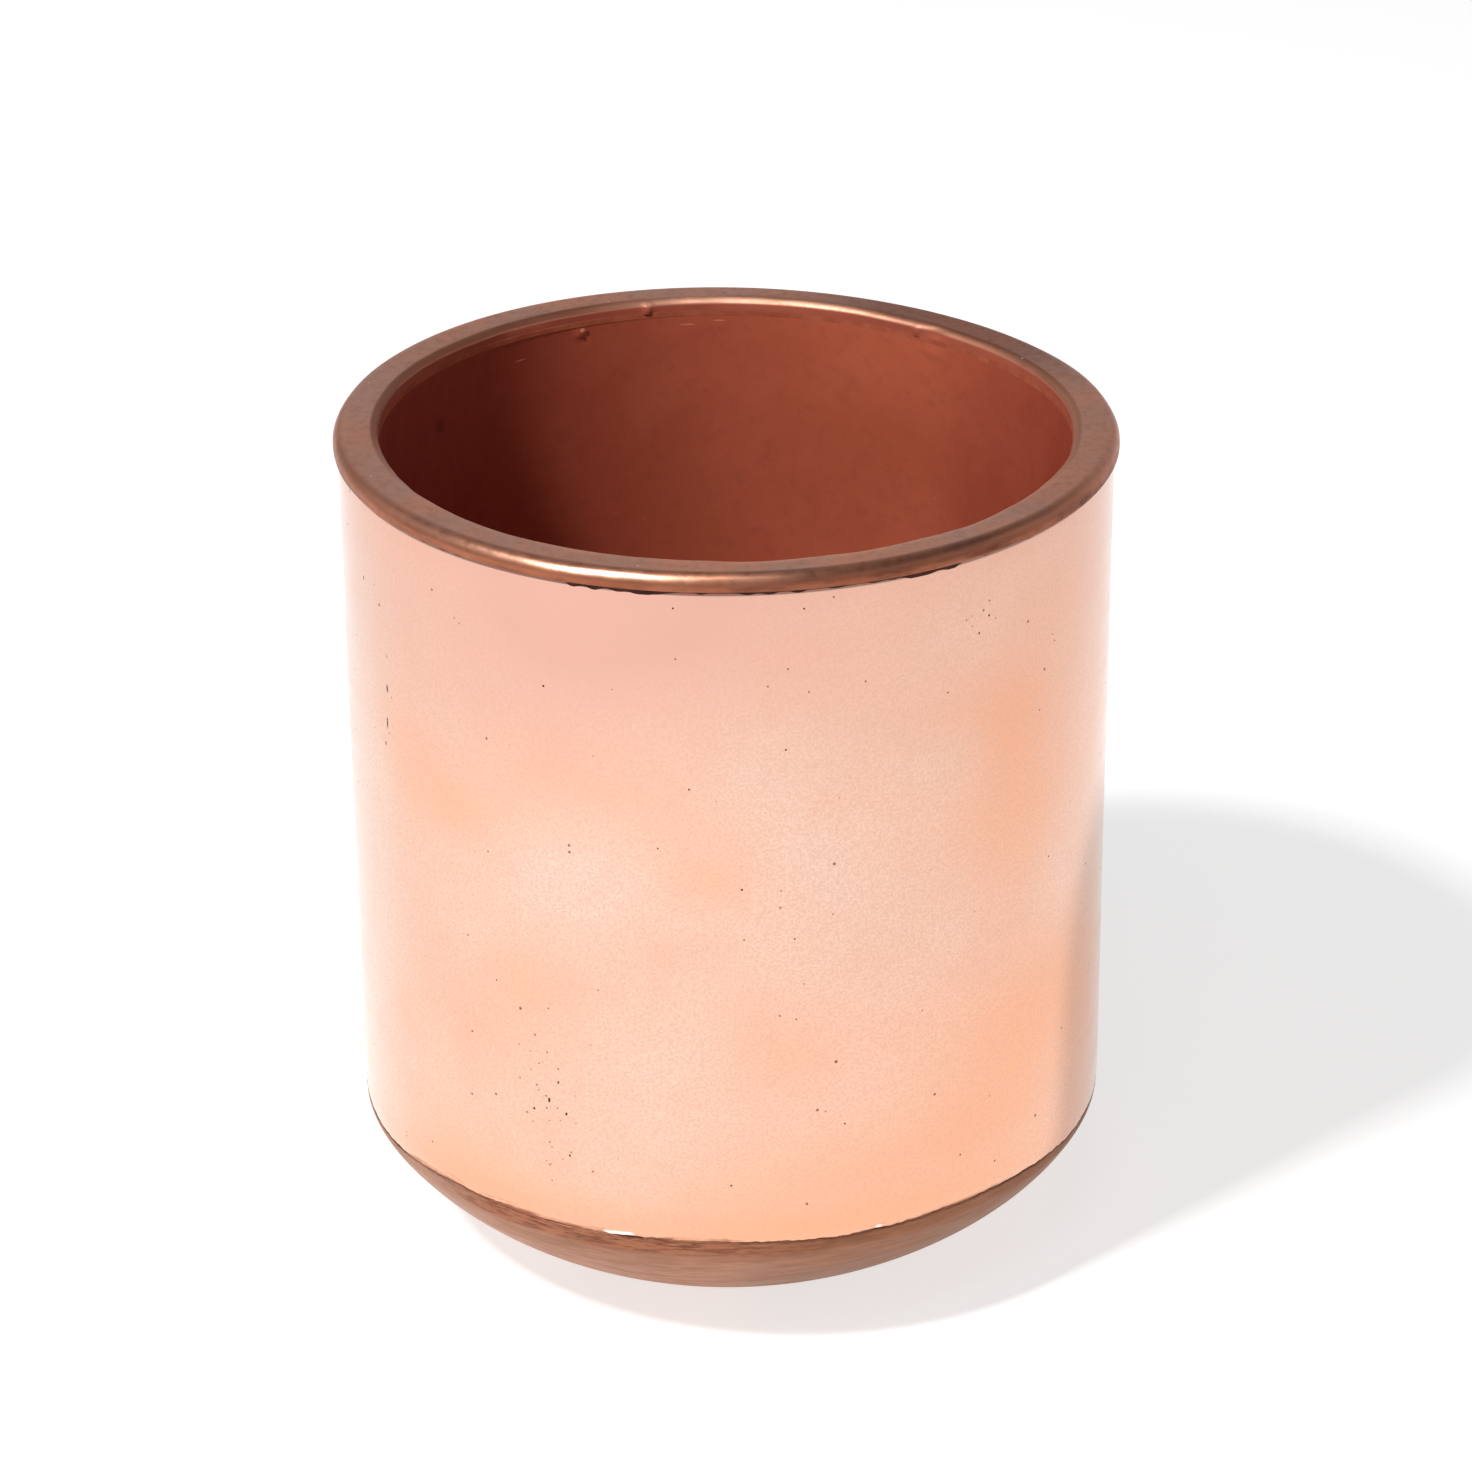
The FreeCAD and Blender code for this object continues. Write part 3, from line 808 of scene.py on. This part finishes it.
# ------------------------------------------------ masks the materials read
def patch(a, z, b, z0, wa, wz, r=WALL_R):
    """A soft patch at a bearing b, degrees, and a height z0, of widths in mm."""
    d = (a - (math.pi - math.radians(b)) + math.pi) % TAU - math.pi
    return np.exp(-((d * r / wa) ** 2 + ((z - z0) / wz) ** 2))


r_, a_, z_ = coords(sleeve)
b_ = bearing(a_)
cl = np.zeros_like(r_)
for b, z0, wa, wz, k in ((-28, 31, 3.4, 4.2, 1.0), (-26, 24, 2.6, 2.0, 1.0), (40, 84, 3.2, 3.0, 0.75), (-59, 70, 1.0, 7.0, 0.7),
                         (-30, 36, 2.5, 3.0, 0.5), (150, 62, 4.0, 6.0, 0.9), (-140, 30, 3.0, 4.0, 0.8)):
    cl += k * patch(a_, z_, b, z0, wa, wz)
attribute(sleeve, "cluster", np.clip(cl, 0, 1))
lone = wave2(71, 5, 3.0, 0.22, 76.0)
w_ = lone(a_, z_) * 0.7
# warm: the plating's own orange mottling; the patch at bearing 72, low on the right, also deepens the reflected floor
# shadow, a painted reflection
for b, z0, wa, wz, k in ((-32, 46, 6, 6, 0.75), (44, 72, 8, 6, 0.90), (-7, 87, 5, 3, 0.70), (8, 84, 7, 3, 0.30), (-5, 58.5, 9, 3, 0.45), (47, 57, 8, 10, 0.85),
                         (52, 36, 16, 9, 0.85), (38, 24, 12, 7, 0.60), (10, 22, 14, 7, 0.55), (-45, 20, 14, 6, 0.60),
                         (7, 39, 6, 6, 0.35), (-44, 62, 6, 5, 0.40), (58, 82, 10, 6, 0.60), (-29, 75, 6, 6, 0.25),
                         (0, 17, 60, 2.5, 0.55), (-7, 58.5, 6, 4.5, 0.40), (72, 28, 6, 9, 0.35), (130, 60, 14, 12, 0.6), (-120, 45, 12, 14, 0.6), (180, 40, 12, 12, 0.5)):
    w_ += k * patch(a_, z_, b, z0, wa, wz)
attribute(sleeve, "warm", np.clip(w_, 0, 1) * 0.95)
c_ = -lone(a_, z_) * 0.5
# cool: the plating's own paler mottling; the tall patches at bearings -68, -78 and 84, near the wall's left and right
# edges, are painted sheen standing in for the paler grazing reflection
for b, z0, wa, wz, k in ((-25, 62, 8, 7, 0.55), (17, 54, 8, 7, 0.50), (-12, 34, 9, 9, 0.70), (5, 68, 8, 5, 0.60), (12, 62, 6, 5, 0.70), (-14, 60, 7, 5, 0.60), (-24, 56, 7, 5, 0.70),
                         (-42, 69, 6, 6, 0.60), (25, 69, 7, 7, 0.30), (-68, 50, 7, 40, 0.95), (-78, 50, 8, 50, 0.6),
                         (-20, 84, 18, 5, 0.35), (5, 73, 11, 5, 0.75), (34, 69, 6, 4.5, 0.55), (-64, 61, 5, 6, 0.50), (-12, 39.5, 12, 5, 0.45), (84, 74, 5, 14, 0.6), (-160, 55, 12, 12, 0.5), (105, 70, 12, 10, 0.4)):
    c_ += k * patch(a_, z_, b, z0, wa, wz)
attribute(sleeve, "cool", np.clip(c_, 0, 1) * 0.85)
# painted shade for the dimmer reflection: darker towards the top, more in a patch under the rim on the left, less on
# the right
s_ = 0.10 * smooth(z_, 20.0, 55.0) + 0.42 * smooth(z_, 58.0, 90.0) + 0.10 * smooth(z_, 88.0, RING_Z)
s_ = s_ + 0.65 * patch(a_, z_, -18, 88, 17, 8) + 0.28 * patch(a_, z_, -28, 77, 15, 8) - 0.22 * patch(a_, z_, 38, 84, 16, 8)
attribute(sleeve, "shade", np.clip(s_, 0, 1))
attribute(sleeve, "above", z_ - SEAM_Z - seam_lift(a_))
attribute(sleeve, "drag_w", np.interp(b_, (-180, -75, -62, -54, -20, -16, -11, -8, -1, 2, 18, 22, 40, 60, 90, 180),
                                      (0.45, 0.10, 0.40, 0.75, 0.75, 0.25, 0.30, 0.70, 0.75, 0.22, 0.25, 0.50, 0.45, 0.22, 0.30, 0.45)))
# painted glints: two narrow spots just above the seam coloured near-white, on solder
attribute(sleeve, "solder_glint", smooth(b_, -19.8, -18.4) * (1 - smooth(b_, -15.6, -14.4)) + 0.7 * smooth(b_, 21.4, 21.8) * (1 - smooth(b_, 22.2, 22.6)))
# the ring's masks follow its section, so they are laid on the undisturbed profile
N_RING = 720
r_ = np.repeat([p[0] for p in sec], N_RING)
z_ = np.repeat([p[1] for p in sec], N_RING)
b_ = np.tile(bearing(np.arange(N_RING) * TAU / N_RING), len(sec))
t_ = np.clip((r_ - OPEN_R) / (RIM_R - OPEN_R), 0, 1)
# the nose's lighter, glossier band: partly polished wear, shaped by bearing as a painted highlight where the key light
# falls
e_ = smooth(t_, 0.84, 0.90) * (1 - smooth(t_, 0.94, 0.985)) * smooth(z_, HEIGHT - 1.2, HEIGHT - 0.8)
e_ = e_ * np.interp(b_, (-180, -70, -56, -43, -34, -27, -20, -14, -8, -2, 5, 11, 30, 50, 180), (0, 0, 0.24, 0.34, 0.48, 0.58, 0.90, 0.85, 0.60, 0.30, 0.26, 0.12, 0.04, 0, 0))
attribute(ring, "edge", np.clip(e_, 0, 1))
e_ = smooth(z_, HEIGHT - 0.75, HEIGHT - 0.40) * (1 - smooth(t_, 0.13, 0.20))
attribute(ring, "lip", e_ * smooth(np.abs(b_), 50.0, 90.0))
# painted highlight along the far side of the inner lip, set by bearing
lip_highlight = np.interp((180.0 - b_ + 180.0) % 360.0 - 180.0, (-180, -27, -14, -6, 4, 9, 13, 22, 32, 45, 70, 92, 115, 180),
                 (0.0, 0.0, 0.35, 0.9, 1.0, 0.55, 0.9, 1.0, 0.7, 0.35, 0.12, 0.26, 0.0, 0.0))
attribute(ring, "lip_highlight", e_ * lip_highlight)
attribute(ring, "nose", (1.0 - 0.35 * hump(b_ * 0 + np.radians(b_), 100, 60)) * smooth(t_, 0.70, 0.86) * (1.0 - 0.35 * smooth(z_, HEIGHT - 0.35, HEIGHT - 0.02)))
# lower-nose darkening: streaky tarnish plus painted shade under the nose, deeper and higher on the right
dark = np.interp(b_, (-180, -95, -60, -45, -25, -8, 5, 14, 40, 65, 80, 120, 180),
                 (0.7, 0.5, 0.60, 0.6, 0.6, 0.65, 0.65, 0.70, 0.85, 0.85, 0.7, 0.7, 0.7))
top_of = RING_Z + 0.80 + 0.45 * np.interp(b_, (-180, -60, 0, 12, 45, 80, 180), (0.5, 0.1, 0.30, 1.0, 1.0, 0.6, 0.5))
attribute(ring, "grime_and_shade", dark * (1.0 - smooth(z_ - top_of, -0.70, 0.25)) * smooth(t_, 0.6, 0.9))
attribute(ring, "within", (1.0 - smooth(t_, 0.02, 0.060)) * (1.0 - smooth(z_, HEIGHT - 0.72, HEIGHT - 0.48)))
f_ = smooth(z_, HEIGHT - 0.5, HEIGHT - 0.12)
attribute(ring, "flat", f_)
# flat top: painted light at the front and right, partly worn copper; painted shade on the far right
attribute(ring, "rubbed_and_lit", f_ * np.interp(b_, (-180, -75, -45, 0, 15, 45, 60, 180), (0.0, 0.0, 0.50, 0.80, 1.0, 0.60, 0.0, 0.0)))
attribute(ring, "dimmed_reflection", f_ * np.interp(b_, (-180, 100, 125, 150, 172, 180), (0.0, 0.0, 0.8, 0.9, 0.1, 0.0)))
r_, a_, z_ = coords(bead_base)
attribute(bead_base, "worn", np.interp(bearing(a_), (-180, -80, -64, -54, -22, -17.5, -16.5, -14.0, -13.0, 20, 60, 75, 180), (0.9, 0.4, 0.4, 0.95, 0.95, 0.9, 0.0, 0.0, 0.9, 1.0, 0.9, 0.4, 0.9)))
r_, a_, z_ = coords(bead_outer)
attribute(bead_outer, "worn", np.interp(bearing(a_), (-180, -60, -50, -48, -40, -37, -24, -21, -9, -7, -4, 4, 8, 20, 26, 33, 36, 60, 100, 180), (0.6, 0.8, 0.6, 0.0, 0.0, 0.9, 0.8, 0.0, 0.0, 0.4, 0.1, 0.1, 0.3, 0.3, 0.0, 0.0, 0.5, 0.8, 0.6, 0.6)))
r_, a_, z_ = coords(liner)
attribute(liner, "edge", smooth(z_, RING_Z - 0.8, RING_Z) * 0.10)
d_ = np.degrees(a_)
out_ = smooth(r_, 8.0, 36.0)
# inside darkening by azimuth: partly tarnish, partly painted shade, strongest on the left away from the key light
attribute(liner, "aged_and_shaded", 0.85 * (0.30 * (1 - out_) + out_ * np.interp(d_, (-180, -120, -90, -53, -41, -29, -19, 0, 19, 38, 57, 80, 120, 180),
                                   (0.45, 0.6, 0.8, 0.76, 0.66, 0.42, 0.30, 0.10, 0.0, 0.0, 0.42, 0.6, 0.5, 0.45))))
r_, a_, z_ = coords(pan)
b_ = bearing(a_)
low = seam_lift(a_)
attribute(pan, "fringe", smooth(z_ - low, CORNER_Z - 1.6, CORNER_Z + 0.6) * np.interp(b_, (-180, -70, -40, -10, 10, 60, 90, 180), (0.6, 0.3, 1.0, 1.0, 0.7, 0.3, 0.5, 0.6)))
# painted shade on the base's right side and painted light on its left side
attribute(pan, "painted_shade_right", np.interp(b_, (-180, 0, 12, 45, 75, 120, 180), (0.0, 0.0, 0.45, 0.55, 0.4, 0.2, 0.0)))
attribute(pan, "painted_light_left", 0.35 * np.interp(b_, (-180, -110, -75, -50, -38, 180), (0.2, 0.6, 1.0, 0.9, 0.0, 0.0)))

PIECES = (
    (sleeve, "outer_sleeve", P, "polished_copper"),
    (pan, "base_pan", B, "brushed_copper"),
    (liner, "inner_liner", I, "matte_copper"),
    (ring, "rim_ring", S, "satin_copper"),
    (bead_outer, "rim_outer_solder", Z, "braze"),
    (bead_inner, "rim_inner_solder", Y, "braze"),
    (bead_base, "base_solder", Z, "braze"),
)
for ob, node, mat, slot in PIECES:
    ob.data.materials.append(mat.m)
    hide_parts(node)
    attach(ob, "root")

# ---------------------------------------------------------------------- stage
me = bpy.data.meshes.new("floor")
w = 3.0
me.from_pydata([(-w, -w, 0), (w, -w, 0), (w, w, 0), (-w, w, 0)], [], [(0, 1, 2, 3)])
floor = bpy.data.objects.new("floor", me)
bpy.context.scene.collection.objects.link(floor)
F = bpy.data.materials.new("floor_white")
F.use_nodes = True
nt = F.node_tree
fb = nt.nodes["Principled BSDF"]
fb.inputs["Base Color"].default_value = (0.62, 0.62, 0.62, 1)
fb.inputs["Roughness"].default_value = 0.9
fb.inputs["Specular IOR Level"].default_value = 0.1
fb.inputs["Emission Color"].default_value = (1, 1, 1, 1)
fb.inputs["Emission Strength"].default_value = 0.66
floor.data.materials.append(F)

# ---------------------------------------------------------------------- light
scene = bpy.context.scene
world = bpy.data.worlds.new("studio") if scene.world is None else scene.world
scene.world = world
world.use_nodes = True
bg = world.node_tree.nodes["Background"]
wt = world.node_tree
w_tc = wt.nodes.new("ShaderNodeTexCoord")
w_sep = wt.nodes.new("ShaderNodeSeparateXYZ")
w_map = wt.nodes.new("ShaderNodeMapRange")
wt.links.new(w_tc.outputs["Generated"], w_sep.inputs[0])
wt.links.new(w_sep.outputs["Z"], w_map.inputs["Value"])
w_map.interpolation_type = "SMOOTHSTEP"
w_map.inputs["From Min"].default_value = 0.46
w_map.inputs["From Max"].default_value = 0.68
w_map.inputs["To Min"].default_value = 0.47
w_map.inputs["To Max"].default_value = 0.06
wt.links.new(w_map.outputs["Result"], bg.inputs[1])
bg.inputs[0].default_value = (1, 1, 1, 1)


def softbox(name, az, el, dist, size, power, target=(0, 0, 0.05)):
    """az from the camera's side, positive to the left; el above the floor."""
    A, E = math.radians(az), math.radians(el)
    d = Vector((-math.sin(A) * math.cos(E), -math.cos(A) * math.cos(E), math.sin(E)))
    L = bpy.data.lights.new(name, "AREA")
    L.shape = "RECTANGLE"
    L.size, L.size_y = size
    L.energy = power
    o = bpy.data.objects.new(name, L)
    o.location = Vector(target) + d * dist
    o.rotation_euler = d.to_track_quat("Z", "Y").to_euler()
    scene.collection.objects.link(o)
    return o


softbox("key", 48, 52, 1.0, (0.11, 0.11), 9.0)
softbox("front", 6, 58, 1.1, (0.30, 0.30), 0.7)

# --------------------------------------------------------------------- camera
cam = bpy.data.cameras.new("camera")
cam_ob = bpy.data.objects.new("camera", cam)
scene.collection.objects.link(cam_ob)
F_PX = 4750.0
cam.sensor_width = 36.0
cam.lens = F_PX * 36.0 / 1476.0
cam.clip_start = 0.01
cam.clip_end = 20.0
cam_ob.matrix_world = Matrix(((0.9999576, 0.0090684, -0.0015744, 0.0000000),
                              (-0.0053477, 0.4332114, -0.9012765, -0.4715326),
                              (-0.0074911, 0.9012467, 0.4332415, 0.2819908),
                              (0.0000000, 0.0000000, 0.0000000, 1.0000000)))
scene.camera = cam_ob
scene.view_settings.view_transform = "Standard"
scene.view_settings.look = "None"
